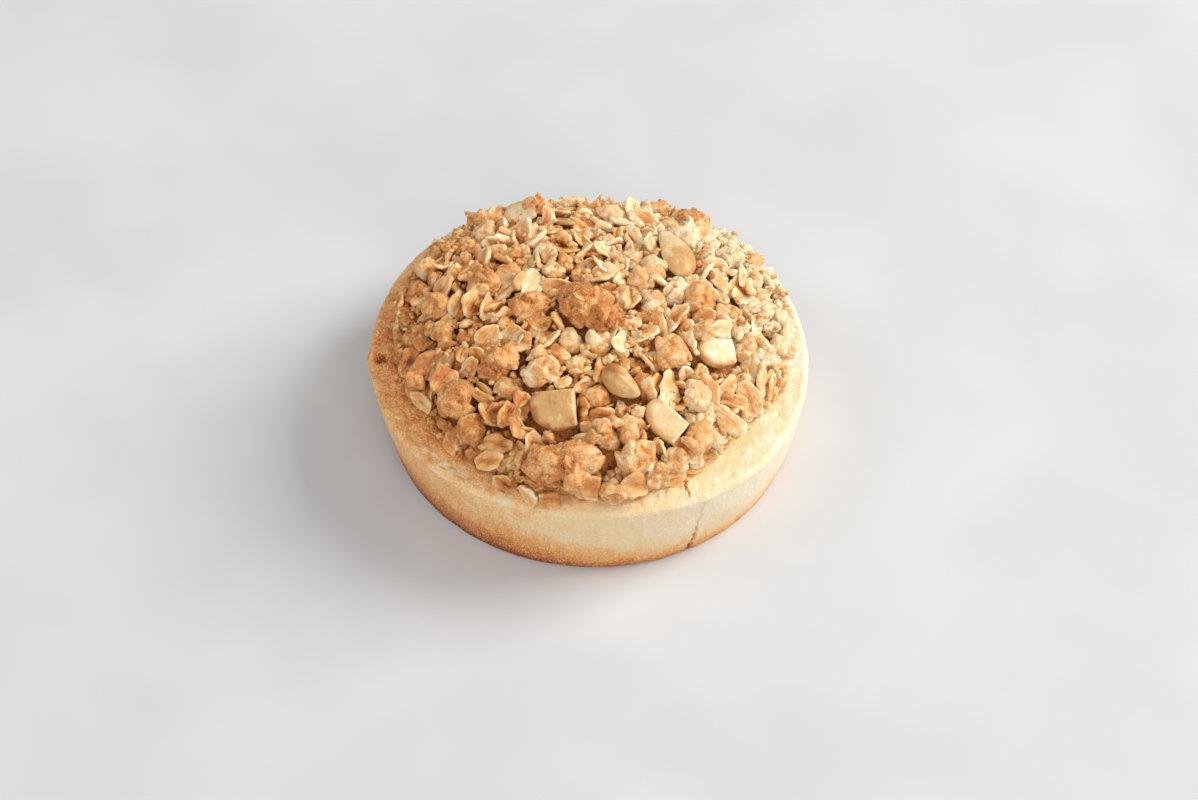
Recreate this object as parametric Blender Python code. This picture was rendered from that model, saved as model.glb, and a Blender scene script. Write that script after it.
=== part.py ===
"""An individual fruit tart: a flared round of shortcrust pastry under a heap of oat and almond crumble.

Lengths are in metres, +Z is up, and the tart stands on the plane z = 0 with its origin at the
middle of its footprint. -Y is the front, where the pastry's small crack is. A bearing is an angle
about +Z, in degrees from +X.
"""
import math
import random

import bmesh
import bpy
from mathutils import Matrix, Vector, noise
from mathutils.bvhtree import BVHTree

MM = 0.001
FRONT = -90.0

# Gap kept between neighbouring solids, and the wider berth that fused grains give the toppings
GAP = 0.35 * MM
BERTH = 0.5 * MM

# Pastry: its outline at the rim, its outline at the foot, and how it flares between them
CRUST_HEIGHT = 24.0 * MM
RIM_RADIUS = 51.6 * MM
RIM_OVAL = 1.7 * MM
RIM_OVAL_BEARING = -11.0
RIM_SQUARENESS = 0.45 * MM
RIM_SQUARE_BEARING = 45.0
FOOT_RADIUS = 48.7 * MM
FOOT_SKEW = 0.8 * MM
FOOT_OVAL = 0.8 * MM
FOOT_ROUND = 1.0 * MM
LIP_ROUND = 1.5 * MM
WALL_BULGE = 0.35 * MM
WALL_ROUGHNESS = 0.22 * MM
WALL_GRAIN = 7.0 * MM
RIM_SAG = 0.9 * MM
RIM_SAG_GRAIN = 16.0 * MM
RIM_BAND = 9.0 * MM
CRUST_SEGMENTS = 64
WALL_RINGS = 4
BAND_RINGS = 3
ROUND_STEPS = 3

# Crack at the front right, in the rim and down the wall, and the chipped pit at the left
CRACK_WIDTH = 1.1 * MM
CRACK_DEPTH = 1.6 * MM
CRACK_OUTSIDE = 1.5 * MM
RIM_CRACK_BEARING = -61.0
RIM_CRACK_INNER = 44.0 * MM
RIM_CRACK_OUTER = 49.0 * MM
WALL_CRACK_BEARING = -58.0
WALL_CRACK_TOP = 20.0 * MM
WALL_CRACK_LEAN = 2.2
CRACK_STEPS = 6
CRACK_WANDER = 0.5 * MM
CHIP_BEARING = -176.0
CHIP_RADIUS = 1.9 * MM
CHIP_INSET = 2.4 * MM

# Crumble heap: a smaller core, with its crown, edge and unevenness
HEAP_FOOT = CRUST_HEIGHT + GAP
HEAP_SIDE = 1.5 * MM
HEAP_RISE = 13.4 * MM
HEAP_FULLNESS = 2.6
HEAP_RADIUS = 47.0 * MM
HEAP_LOBES = 1.6 * MM
HEAP_OVAL = 0.4 * MM
HEAP_SHIFT = 1.2 * MM
HEAP_UNEVENNESS = 0.45 * MM
HEAP_GRAIN = 14.0 * MM
CORE_SEGMENTS = 40
CORE_RINGS = 8

# Grains fused to the core: how many, how large, and how steeply they lie
OAT_COUNT = 102
OAT_LENGTH = (6.8 * MM, 9.0 * MM)
OAT_SLIMNESS = (0.58, 0.74)
OAT_THICKNESS = (1.0 * MM, 1.4 * MM)
OAT_TILT = (14.0, 55.0)
OAT_SIDES = 6
SLICE_COUNT = 8
SLICE_LENGTH = (9.0 * MM, 11.5 * MM)
SLICE_TILT = (10.0, 32.0)
SLICE_SLIMNESS = 0.55
SLICE_THICKNESS = 1.1 * MM
SLICE_TAPER = 0.5
SLICE_SIDES = 8
CLUMP_COUNT = 7
CLUMP_RADIUS = (2.9 * MM, 3.9 * MM)
NUGGET_COUNT = 79
NUGGET_RADIUS = (1.9 * MM, 3.1 * MM)
CRUMB_TILT = (0.0, 40.0)
CROWDING = 0.6
SPOTS_PER_GRAIN = 5
TRIES = (1.0, 1.0, 0.85, 0.7)
SPIRAL_TURN = 53.0
EDGE_INSET = 0.6 * MM
FOOT_CLEARANCE = 0.1 * MM
MOST_LIFT = 1.6 * MM
LARGEST_TOPPING = 12.0 * MM
SEED = 11
FLAT_ENOUGH = math.radians(3)

# Toppings as large as berries: (name, shape, bearing, distance from the middle in mm,
# (length, width, height) in mm, turn on the heap, tilt)
TOPPINGS = (
    ("toasted_lump_top", "lump", -128.0, 2.8, (13.5, 12.0, 9.0), -38.0, 0.0),
    ("toasted_lump_front", "lump", -97.5, 40.3, (19.5, 10.0, 7.5), 6.0, 0.0),
    ("lump_front_right", "lump", -74.5, 39.8, (10.0, 9.5, 7.5), -20.0, 0.0),
    ("lump_left", "lump", -142.0, 37.8, (10.5, 10.5, 6.5), 30.0, 0.0),
    ("lump_mid_left", "lump", -141.5, 26.3, (11.0, 8.5, 7.0), 25.0, 0.0),
    ("lump_pale", "lump", -117.5, 22.8, (10.0, 7.5, 6.5), 12.0, 0.0),
    ("lump_flat", "lump", -177.0, 14.2, (10.0, 8.5, 6.5), 18.0, 0.0),
    ("lump_right", "lump", -36.0, 23.0, (9.5, 9.5, 6.0), 40.0, 0.0),
    ("lump_upper_left", "lump", 164.5, 25.9, (8.5, 9.0, 6.5), 0.0, 0.0),
    ("lump_back", "lump", 111.5, 38.6, (9.5, 8.5, 6.5), 15.0, 0.0),
    ("lump_back_right", "lump", 55.0, 42.0, (10.0, 9.0, 6.0), -30.0, 0.0),
    ("lump_back_left", "lump", 126.5, 43.5, (11.0, 8.5, 5.5), 20.0, 0.0),
    ("nut_nib", "nib", -72.5, 24.0, (10.5, 6.5, 6.0), -42.0, 0.0),
    ("almond_long", "nib", 40.5, 26.4, (17.0, 8.5, 5.0), 108.0, 6.0),
    ("almond_half", "slab", -104.5, 30.5, (10.5, 9.5, 3.8), 4.0, 9.0),
    ("almond_cut", "slab", -61.0, 34.4, (10.5, 7.0, 3.0), -38.0, 6.0),
    ("almond_white", "slab", -21.0, 31.1, (9.0, 7.0, 3.0), 14.0, 4.0),
)
LUMP_ROUGHNESS = 0.2
LUMP_DETAIL_LENGTH = 13.0 * MM
SLAB_SIDES = 12
SLAB_CUT = 0.72

# Finishes: base colour, roughness and metallic value
PASTRY_FINISH = ((0.83, 0.66, 0.42), 0.75, 0.0)
CRUMBLE_FINISH = ((0.76, 0.53, 0.27), 0.7, 0.0)
LUMP_FINISH = ((0.70, 0.42, 0.18), 0.7, 0.0)
ALMOND_FINISH = ((0.86, 0.70, 0.48), 0.55, 0.0)


def clear_scene():
    for old in list(bpy.data.objects):
        bpy.data.objects.remove(old, do_unlink=True)


def finish(name, look):
    """A plain surface of one colour, made once and shared."""
    material = bpy.data.materials.get(name) or bpy.data.materials.new(name)
    material.use_nodes = True
    shader = material.node_tree.nodes["Principled BSDF"]
    colour, roughness, metallic = look
    shader.inputs["Base Color"].default_value = (*colour, 1.0)
    shader.inputs["Roughness"].default_value = roughness
    shader.inputs["Metallic"].default_value = metallic
    return material


def mesh_object(name, shape, material, smooth_angle=math.radians(50)):
    """Turns a bmesh into an object with its faces outward and its soft edges shaded smooth."""
    bmesh.ops.recalc_face_normals(shape, faces=shape.faces)
    mesh = bpy.data.meshes.new(name)
    shape.to_mesh(mesh)
    shape.free()
    mesh.shade_smooth()
    mesh.set_sharp_from_angle(angle=smooth_angle)
    mesh.materials.append(material)
    made = bpy.data.objects.new(name, mesh)
    bpy.context.scene.collection.objects.link(made)
    return made


def wave(bearing, peak, count):
    """A cosine with count waves round the tart and a crest at the peak bearing."""
    return math.cos(count * math.radians(bearing - peak))


def ripple(point, grain, offset):
    """Smooth noise between about -1 and 1 whose bumps are one grain apart."""
    return noise.noise(point / grain + Vector((offset, offset * 1.7, -offset)))


def at(bearing, distance, height=0.0):
    angle = math.radians(bearing)
    return Vector((distance * math.cos(angle), distance * math.sin(angle), height))


def loft(rings, bottom, top):
    """A closed solid through rings of points, one above the other, with a point at each end."""
    shape = bmesh.new()
    levels = [[shape.verts.new(point) for point in ring] for ring in rings]
    for low, high in zip(levels, levels[1:]):
        for i in range(len(low)):
            j = (i + 1) % len(low)
            shape.faces.new((low[i], low[j], high[j], high[i]))
    for ring, tip in ((levels[0], bottom), (levels[-1], top)):
        centre = shape.verts.new(tip)
        for i in range(len(ring)):
            shape.faces.new((ring[i], ring[(i + 1) % len(ring)], centre))
    return shape


# Pastry

def rim_radius(bearing):
    oval = RIM_OVAL * wave(bearing, RIM_OVAL_BEARING, 2)
    return RIM_RADIUS + oval + RIM_SQUARENESS * wave(bearing, RIM_SQUARE_BEARING, 4)


def foot_radius(bearing):
    return FOOT_RADIUS + FOOT_SKEW * wave(bearing, 0.0, 1) + FOOT_OVAL * wave(bearing, 0.0, 2)


def rim_sag(bearing, inset):
    """How far the top of the pastry dips, from nothing under the heap to the most at the rim."""
    place = at(bearing, rim_radius(bearing) - inset)
    dip = 0.5 + 0.5 * ripple(place, RIM_SAG_GRAIN, 3.1)
    near_rim = max(0.0, 1.0 - inset / RIM_BAND)
    return RIM_SAG * dip * near_rim ** 0.5


def crust_profile(bearing):
    """Points up the pastry at one bearing: round of the foot, wall, round of the lip, top band.

    Each is its distance from the middle, its height, and its share of the wall's roughness.
    """
    foot, rim = foot_radius(bearing), rim_radius(bearing)
    profile = []
    for step in range(ROUND_STEPS):
        turn = math.pi / 2 * step / ROUND_STEPS
        inset = FOOT_ROUND * (1 - math.sin(turn))
        profile.append((foot - inset, FOOT_ROUND * (1 - math.cos(turn)), 0.0))
    lip = CRUST_HEIGHT - LIP_ROUND - rim_sag(bearing, 0.0)
    for step in range(WALL_RINGS + 1):
        share = step / WALL_RINGS
        bulge = WALL_BULGE * math.sin(math.pi * share)
        height = FOOT_ROUND + share * (lip - FOOT_ROUND)
        profile.append((foot + (rim - foot) * share + bulge, height, 1.0))
    for step in range(1, ROUND_STEPS + 1):
        turn = math.pi / 2 * step / ROUND_STEPS
        inset = LIP_ROUND * (1 - math.cos(turn))
        rough = 0.5 if step < ROUND_STEPS else 0.0
        profile.append((rim - inset, lip + LIP_ROUND * math.sin(turn), rough))
    for step in range(1, BAND_RINGS + 1):
        inset = LIP_ROUND + (RIM_BAND - LIP_ROUND) * step / BAND_RINGS
        profile.append((rim - inset, CRUST_HEIGHT - rim_sag(bearing, inset), 0.0))
    return profile


def crust_ring(level):
    ring = []
    for segment in range(CRUST_SEGMENTS):
        bearing = 360.0 * segment / CRUST_SEGMENTS
        distance, height, rough = crust_profile(bearing)[level]
        place = at(bearing, distance, height)
        distance += rough * WALL_ROUGHNESS * ripple(place, WALL_GRAIN, 9.0)
        ring.append(at(bearing, distance, height))
    return ring


def crack_cutter(name, spine, outward, width):
    """A blade of triangular section along a wandering spine, open at the surface, sharp below."""
    shape = bmesh.new()
    last = len(spine) - 1
    sections = []
    for i, point in enumerate(spine):
        along = (spine[min(i + 1, last)] - spine[max(i - 1, 0)]).normalized()
        away = outward(point)
        side = along.cross(away).normalized()
        half = 0.5 * width(i / last)
        mouth = point + away * CRACK_OUTSIDE
        corners = (mouth + side * half, mouth - side * half, point - away * CRACK_DEPTH)
        sections.append([shape.verts.new(corner) for corner in corners])
    for low, high in zip(sections, sections[1:]):
        for i in range(3):
            j = (i + 1) % 3
            shape.faces.new((low[i], low[j], high[j], high[i]))
    shape.faces.new(sections[0])
    shape.faces.new(sections[-1])
    return as_cutter(name, shape)


def as_cutter(name, shape):
    cutter = mesh_object(name, shape, finish("pastry", PASTRY_FINISH))
    cutter.hide_render = True
    cutter.display_type = "WIRE"
    return cutter


def rim_crack():
    """The crack in the rim's top, widest where it leaves the heap."""
    spine = []
    for step in range(CRACK_STEPS + 1):
        share = step / CRACK_STEPS
        distance = RIM_CRACK_INNER + share * (RIM_CRACK_OUTER - RIM_CRACK_INNER)
        place = at(RIM_CRACK_BEARING, distance, CRUST_HEIGHT)
        place.x += CRACK_WANDER * math.sin(2.2 * step)
        spine.append(place)
    return crack_cutter("rim_crack", spine, lambda point: Vector((0, 0, 1)),
                        lambda share: CRACK_WIDTH * (1.8 - 1.5 * share))


def wall_crack():
    """The crack in the wall, from a hair near the rim to its widest at the foot."""
    spine = []
    for step in range(CRACK_STEPS + 1):
        height = WALL_CRACK_TOP * (1 - step / CRACK_STEPS) - CRACK_OUTSIDE * (step == CRACK_STEPS)
        share = max(height, 0.0) / CRUST_HEIGHT
        radius = foot_radius(WALL_CRACK_BEARING) * (1 - share) + rim_radius(WALL_CRACK_BEARING) * share
        bearing = WALL_CRACK_BEARING - WALL_CRACK_LEAN * step / CRACK_STEPS
        place = at(bearing, radius, height)
        place.x += CRACK_WANDER * math.sin(2.5 * step + 1.0)
        spine.append(place)
    return crack_cutter("wall_crack", spine, lambda point: Vector((point.x, point.y, 0)).normalized(),
                        lambda share: CRACK_WIDTH * (0.4 + 1.4 * share))


def chip_cutter():
    shape = bmesh.new()
    bmesh.ops.create_icosphere(shape, subdivisions=2, radius=CHIP_RADIUS)
    middle = at(CHIP_BEARING, rim_radius(CHIP_BEARING) - CHIP_INSET, CRUST_HEIGHT)
    for vert in shape.verts:
        vert.co *= 1 + 0.3 * ripple(vert.co, 2 * MM, 5.0)
        vert.co += middle
    return as_cutter("rim_chip", shape)


def make_crust():
    levels = len(crust_profile(0.0))
    rings = [crust_ring(level) for level in range(levels)]
    shape = loft(rings, Vector((0, 0, 0)), Vector((0, 0, CRUST_HEIGHT)))
    crust = mesh_object("pastry_crust", shape, finish("pastry", PASTRY_FINISH))
    for cutter in (rim_crack(), wall_crack(), chip_cutter()):
        cut = crust.modifiers.new(cutter.name, "BOOLEAN")
        cut.operation = "DIFFERENCE"
        cut.solver = "EXACT"
        cut.object = cutter
    return crust


# Crumble heap

def heap_edge(bearing):
    """Three lobes, one at the front, on a slight oval set a little towards the back."""
    oval = HEAP_OVAL * wave(bearing, 0.0, 2)
    return HEAP_RADIUS + HEAP_LOBES * wave(bearing, FRONT, 3) + oval - HEAP_SHIFT * wave(bearing, FRONT, 1)


def heap_height(x, y):
    """Height of the bare core. Past its edge the slope runs on down to the pastry."""
    distance = math.hypot(x, y)
    share = distance / heap_edge(math.degrees(math.atan2(y, x)))
    crown = HEAP_RISE * (1 - share ** HEAP_FULLNESS)
    bumps = HEAP_UNEVENNESS * ripple(Vector((x, y, 0)), HEAP_GRAIN, 1.3) * max(0.0, 1 - share ** 4)
    return max(HEAP_FOOT + HEAP_SIDE + crown + bumps, CRUST_HEIGHT)


def heap_normal(x, y):
    step = 0.5 * MM
    rise_x = (heap_height(x + step, y) - heap_height(x - step, y)) / (2 * step)
    rise_y = (heap_height(x, y + step) - heap_height(x, y - step)) / (2 * step)
    return Vector((-rise_x, -rise_y, 1)).normalized()


def seat(x, y, turn):
    """A frame on the heap: local Z out of it, local X turned from the line along +X."""
    out = heap_normal(x, y)
    right = Vector((1, 0, 0))
    right = (right - out * right.dot(out)).normalized()
    frame = Matrix((right, out.cross(right), out)).transposed().to_4x4()
    frame.translation = Vector((x, y, heap_height(x, y)))
    return frame @ Matrix.Rotation(math.radians(turn), 4, "Z")


def heap_core():
    rings = []
    for level in range(-1, CORE_RINGS):
        share = 1.0 if level < 0 else 1.0 - level / CORE_RINGS
        ring = []
        for segment in range(CORE_SEGMENTS):
            bearing = 360.0 * segment / CORE_SEGMENTS
            place = at(bearing, heap_edge(bearing) * share)
            place.z = HEAP_FOOT if level < 0 else heap_height(place.x, place.y)
            ring.append(place)
        rings.append(ring)
    shape = loft(rings, Vector((0, 0, HEAP_FOOT)), Vector((0, 0, heap_height(0, 0))))
    return mesh_object("oat_crumble", shape, finish("crumble", CRUMBLE_FINISH))


def flake(length, width, thickness, sides, taper=0.0):
    """A thin oval flake with blunt edges."""
    shape = bmesh.new()
    rings = []
    for side in (-1, 1):
        ring = []
        for i in range(sides):
            angle = 2 * math.pi * i / sides
            x, y = 0.5 * length * math.cos(angle), 0.5 * width * math.sin(angle)
            y *= 1 - taper * x / length
            ring.append(shape.verts.new((x, y, side * 0.5 * thickness)))
        rings.append(ring)
    shape.faces.new(rings[0])
    shape.faces.new(rings[1])
    for i in range(sides):
        j = (i + 1) % sides
        shape.faces.new((rings[0][i], rings[0][j], rings[1][j], rings[1][i]))
    return shape, 0.4 * length


def oat_shape(draw):
    length = draw.uniform(*OAT_LENGTH)
    return flake(length, length * draw.uniform(*OAT_SLIMNESS), draw.uniform(*OAT_THICKNESS), OAT_SIDES)


def slice_shape(draw):
    """A thin slice of almond, narrower at one end."""
    length = draw.uniform(*SLICE_LENGTH)
    return flake(length, SLICE_SLIMNESS * length, SLICE_THICKNESS, SLICE_SIDES, SLICE_TAPER)


def crumb_shape(draw, radius, detail):
    """An uneven crumb of dough."""
    shape = bmesh.new()
    bmesh.ops.create_icosphere(shape, subdivisions=detail, radius=radius)
    offset = draw.uniform(0, 50)
    squash = Vector((draw.uniform(0.9, 1.2), draw.uniform(0.8, 1.0), draw.uniform(0.7, 0.95)))
    for vert in shape.verts:
        vert.co *= 1 + 0.35 * ripple(vert.co, 1.1 * radius, offset)
        vert.co = vert.co * squash
    return shape, radius


def nugget_shape(draw):
    return crumb_shape(draw, draw.uniform(*NUGGET_RADIUS), 1)


def clump_shape(draw):
    return crumb_shape(draw, draw.uniform(*CLUMP_RADIUS), 2)


GRAIN_KINDS = (
    # (shape, how many, least and most tilt, rise of the grain's middle above the core)
    (slice_shape, SLICE_COUNT, SLICE_TILT, 1.6 * MM),
    (clump_shape, CLUMP_COUNT, CRUMB_TILT, 1.1 * MM),
    (oat_shape, OAT_COUNT, OAT_TILT, 1.3 * MM),
    (nugget_shape, NUGGET_COUNT, CRUMB_TILT, 0.8 * MM),
)


def surface_tree(shape):
    return BVHTree.FromBMesh(shape)


def guard_tree(topping):
    """The surface of a topping swelled by the berth that grains keep to it."""
    shape = bmesh.new()
    shape.from_mesh(topping.data)
    shape.normal_update()
    places = [vert.co + vert.normal * BERTH for vert in shape.verts]
    for vert, place in zip(shape.verts, places):
        vert.co = place
    tree = surface_tree(shape)
    shape.free()
    return tree


def inside(tree, point):
    """Whether a point is within a closed surface: the nearest face looks away from it."""
    nearest, normal, _, distance = tree.find_nearest(point)
    return nearest is not None and (point - nearest).dot(normal) < 0 and distance < LARGEST_TOPPING


def meets(shape, guards):
    tree = surface_tree(shape)
    for guard in guards:
        if tree.overlap(guard) or any(inside(guard, vert.co) for vert in shape.verts):
            return True
    return False


def lift_clear(shape):
    """Moves a grain up until none of it is below the heap's foot, and says how far it went."""
    lowest = min(vert.co.z for vert in shape.verts)
    lift = max(0.0, HEAP_FOOT + FOOT_CLEARANCE - lowest)
    bmesh.ops.translate(shape, verts=shape.verts, vec=(0, 0, lift))
    return lift


def spiral_spots(count, start):
    """Even spots over the heap, from a spiral whose next point is a golden angle on."""
    golden = 180 * (3 - math.sqrt(5))
    for spot in range(count):
        bearing = golden * spot + start
        share = math.sqrt((spot + 0.5) / count)
        yield at(bearing, share * (heap_edge(bearing) - EDGE_INSET))


def posed_grain(draw, make, place, tilt, rise, scale):
    """One grain lying at random on the heap, at a share of its full size."""
    shape, reach = make(draw)
    lean = Matrix.Rotation(math.radians(draw.uniform(*tilt)), 4, "X")
    spin = Matrix.Rotation(draw.uniform(0, 2 * math.pi), 4, "Z")
    pose = seat(place.x, place.y, draw.uniform(0, 360)) @ Matrix.Translation((0, 0, rise * scale))
    bmesh.ops.transform(shape, matrix=pose @ lean @ spin @ Matrix.Scale(scale, 4), verts=shape.verts)
    return shape, reach * scale


def fitting_grain(draw, kind, place, taken, guards):
    """The first grain that fits at this spot, turned anew and made smaller at each try, or None."""
    make, _, tilt, rise = kind
    for scale in TRIES:
        shape, reach = posed_grain(draw, make, place, tilt, rise, scale)
        crowded = any((place.xy - other).length < CROWDING * (reach + size) for other, size in taken)
        if not crowded and lift_clear(shape) < MOST_LIFT and not meets(shape, guards):
            taken.append((place.xy.copy(), reach))
            return shape
        shape.free()
    return None


def grain_objects(guards):
    """Places every kind on even spots taken in random order, largest kind first."""
    draw = random.Random(SEED)
    taken, grains = [], []
    for number, kind in enumerate(GRAIN_KINDS):
        spots = list(spiral_spots(SPOTS_PER_GRAIN * kind[1], SPIRAL_TURN * number))
        draw.shuffle(spots)
        wanted = len(grains) + kind[1]
        for place in spots:
            if len(grains) == wanted:
                break
            shape = fitting_grain(draw, kind, place, taken, guards)
            if shape:
                name = f"grain_{len(grains)}"
                grains.append(mesh_object(name, shape, finish("crumble", CRUMBLE_FINISH)))
    return grains


def apply_modifiers(made):
    """Replaces an object's mesh with the one its modifiers give."""
    graph = bpy.context.evaluated_depsgraph_get()
    result = bpy.data.meshes.new_from_object(made.evaluated_get(graph))
    made.modifiers.clear()
    made.data = result


def keep_largest_body(made):
    """Drops loose scraps and fills sealed hollows by keeping only the largest connected surface.

    Faces that the union split are then joined again where they are nearly flat.
    """
    shape = bmesh.new()
    shape.from_mesh(made.data)
    unseen = set(shape.verts)
    bodies = []
    while unseen:
        body = {unseen.pop()}
        front = list(body)
        while front:
            vert = front.pop()
            for edge in vert.link_edges:
                other = edge.other_vert(vert)
                if other in unseen:
                    unseen.discard(other)
                    body.add(other)
                    front.append(other)
        bodies.append(body)
    bodies.sort(key=len)
    scraps = [vert for body in bodies[:-1] for vert in body]
    bmesh.ops.delete(shape, geom=scraps, context="VERTS")
    bmesh.ops.dissolve_limit(shape, angle_limit=FLAT_ENOUGH, verts=shape.verts, edges=shape.edges)
    shape.to_mesh(made.data)
    shape.free()


def make_crumble(toppings):
    core = heap_core()
    guards = [guard_tree(topping) for topping in toppings]
    grains = grain_objects(guards)
    group = bpy.data.collections.new("grains")
    bpy.context.scene.collection.children.link(group)
    for grain in grains:
        group.objects.link(grain)
    union = core.modifiers.new("fuse_grains", "BOOLEAN")
    union.operation = "UNION"
    union.solver = "EXACT"
    union.operand_type = "COLLECTION"
    union.collection = group
    apply_modifiers(core)
    for grain in grains:
        bpy.data.objects.remove(grain, do_unlink=True)
    bpy.data.collections.remove(group)
    keep_largest_body(core)
    core.data.shade_smooth()
    core.data.set_sharp_from_angle(angle=math.radians(35))
    return core


# Toppings

def lump_shape(length, width, height, offset):
    """A clump of dough, lumpy and longer than it is wide."""
    shape = bmesh.new()
    detail = 3 if length >= LUMP_DETAIL_LENGTH else 2
    bmesh.ops.create_icosphere(shape, subdivisions=detail, radius=1.0)
    for vert in shape.verts:
        coarse = ripple(vert.co, 0.9, offset)
        fine = ripple(vert.co, 0.4, offset + 20)
        vert.co *= 1 + LUMP_ROUGHNESS * (1.6 * coarse + 0.7 * fine)
    return scaled_to(shape, length, width, height)


def nib_shape(length, width, height, offset):
    """A smooth nut, pointed at one end, with a low ridge along it."""
    shape = bmesh.new()
    bmesh.ops.create_icosphere(shape, subdivisions=2, radius=1.0)
    for vert in shape.verts:
        taper = 1 - 0.28 * vert.co.x
        ridge = 1 + 0.12 * math.exp(-(vert.co.y / 0.3) ** 2)
        vert.co.y *= taper
        vert.co.z *= taper * ridge
        vert.co *= 1 + 0.06 * ripple(vert.co, 0.8, offset)
    return scaled_to(shape, length, width, height)


def slab_shape(length, width, height, offset):
    """A piece of almond with two straight cut edges and a rounded back."""
    rings = []
    for level, spread in ((-0.5, 0.86), (-0.2, 1.0), (0.2, 1.0), (0.5, 0.86)):
        ring = []
        for i in range(SLAB_SIDES):
            angle = 2 * math.pi * (i + 0.5) / SLAB_SIDES
            x = min(math.cos(angle), SLAB_CUT) * spread
            y = min(math.sin(angle), SLAB_CUT) * spread
            bump = 1 + 0.05 * ripple(Vector((x, y, 0)), 0.7, offset)
            ring.append(Vector((x * bump, y * bump, level)))
        rings.append(ring)
    shape = loft(rings, Vector((-0.1, -0.1, -0.52)), Vector((-0.1, -0.1, 0.56)))
    return scaled_to(shape, length, width, height)


def scaled_to(shape, *size):
    """Scales a shape to the given sizes along its own axes, about the middle of its box."""
    for axis, want in enumerate(size):
        values = [vert.co[axis] for vert in shape.verts]
        low, high = min(values), max(values)
        for vert in shape.verts:
            vert.co[axis] = (vert.co[axis] - 0.5 * (low + high)) * want / (high - low)
    return shape


def rest_on_heap(shape, pose):
    """Flattens the underside along the heap's outward direction onto the core, one gap clear of it."""
    out = heap_normal(pose.translation.x, pose.translation.y)
    for vert in shape.verts:
        for _ in range(6):
            low = vert.co.z - heap_height(vert.co.x, vert.co.y)
            depth = GAP - low * out.z
            if depth < 0.001 * MM:
                break
            vert.co += out * depth


TOPPING_SHAPES = {
    "lump": (lump_shape, "toasted", LUMP_FINISH, 0.34),
    "nib": (nib_shape, "almond", ALMOND_FINISH, 0.42),
    "slab": (slab_shape, "almond", ALMOND_FINISH, 0.62),
}


def make_topping(name, form, bearing, distance, size, turn, tilt):
    build, surface, look, rise = TOPPING_SHAPES[form]
    length, width, height = (value * MM for value in size)
    shape = build(length, width, height, bearing)
    place = at(bearing, distance * MM)
    pose = seat(place.x, place.y, turn) @ Matrix.Translation((0, 0, GAP + rise * height))
    pose = pose @ Matrix.Rotation(math.radians(tilt), 4, "X")
    bmesh.ops.transform(shape, matrix=pose, verts=shape.verts)
    rest_on_heap(shape, pose)
    return mesh_object(name, shape, finish(surface, look))


def main():
    clear_scene()
    make_crust()
    toppings = [make_topping(*topping) for topping in TOPPINGS]
    make_crumble(toppings)


main()
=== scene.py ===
"""Looks of an individual cobbler tart: a pastry case under a heap of oat and almond crumble.

Lengths are in millimetres until mesh_piece() turns them into metres, and in metres in the setting.
-Y is the front and a bearing is an angle about +Z, in degrees from +X. The pastry, the heap and the
toppings follow the part's own rules, so that a detailed piece stands where its solid does.
"""
import math
import random

import bmesh
import bpy
import numpy as np
from mathutils import Color, Matrix, Vector, noise


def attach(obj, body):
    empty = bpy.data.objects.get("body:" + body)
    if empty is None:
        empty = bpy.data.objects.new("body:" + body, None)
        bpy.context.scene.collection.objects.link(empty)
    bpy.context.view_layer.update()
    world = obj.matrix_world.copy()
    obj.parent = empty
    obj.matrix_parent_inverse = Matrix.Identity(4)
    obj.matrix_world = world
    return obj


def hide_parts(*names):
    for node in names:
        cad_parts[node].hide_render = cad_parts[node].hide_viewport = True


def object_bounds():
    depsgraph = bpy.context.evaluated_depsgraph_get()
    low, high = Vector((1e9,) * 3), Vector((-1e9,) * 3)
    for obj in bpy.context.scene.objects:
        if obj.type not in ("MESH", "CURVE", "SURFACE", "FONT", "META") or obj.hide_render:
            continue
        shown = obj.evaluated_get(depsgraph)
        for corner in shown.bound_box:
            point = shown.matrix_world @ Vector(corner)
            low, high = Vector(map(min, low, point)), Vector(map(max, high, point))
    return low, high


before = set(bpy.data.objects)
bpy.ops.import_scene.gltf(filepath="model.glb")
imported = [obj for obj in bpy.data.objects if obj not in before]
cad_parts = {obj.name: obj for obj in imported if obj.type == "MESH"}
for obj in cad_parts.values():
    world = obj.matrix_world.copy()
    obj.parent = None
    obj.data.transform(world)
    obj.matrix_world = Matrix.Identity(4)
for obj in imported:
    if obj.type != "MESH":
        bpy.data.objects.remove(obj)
cad_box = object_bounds()

MM = 0.001
FRONT = -90
SEED = 5
HIGHEST = cad_box[1].z / MM

# The part's own rules for the pastry and the heap
CRUST_HEIGHT = 24
RIM_RADIUS, RIM_OVAL, RIM_OVAL_BEARING = 51.6, 1.7, -11
RIM_SQUARENESS, RIM_SQUARE_BEARING = 0.45, 45
FOOT_RADIUS, FOOT_SKEW, FOOT_OVAL = 48.7, 0.8, 0.8
FOOT_ROUND, LIP_ROUND = 1, 1.5
WALL_BULGE, WALL_ROUGHNESS, WALL_GRAIN = 0.35, 0.22, 7
RIM_SAG, RIM_SAG_GRAIN, RIM_BAND = 0.9, 16, 9
GAP = 0.35
HEAP_FOOT = CRUST_HEIGHT + GAP
HEAP_SIDE, HEAP_RISE, HEAP_FULLNESS = 1.5, 13.4, 2.6
HEAP_RADIUS, HEAP_LOBES, HEAP_OVAL, HEAP_SHIFT = 47, 1.6, 0.4, 1.2
HEAP_UNEVENNESS, HEAP_GRAIN = 0.45, 14

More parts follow.
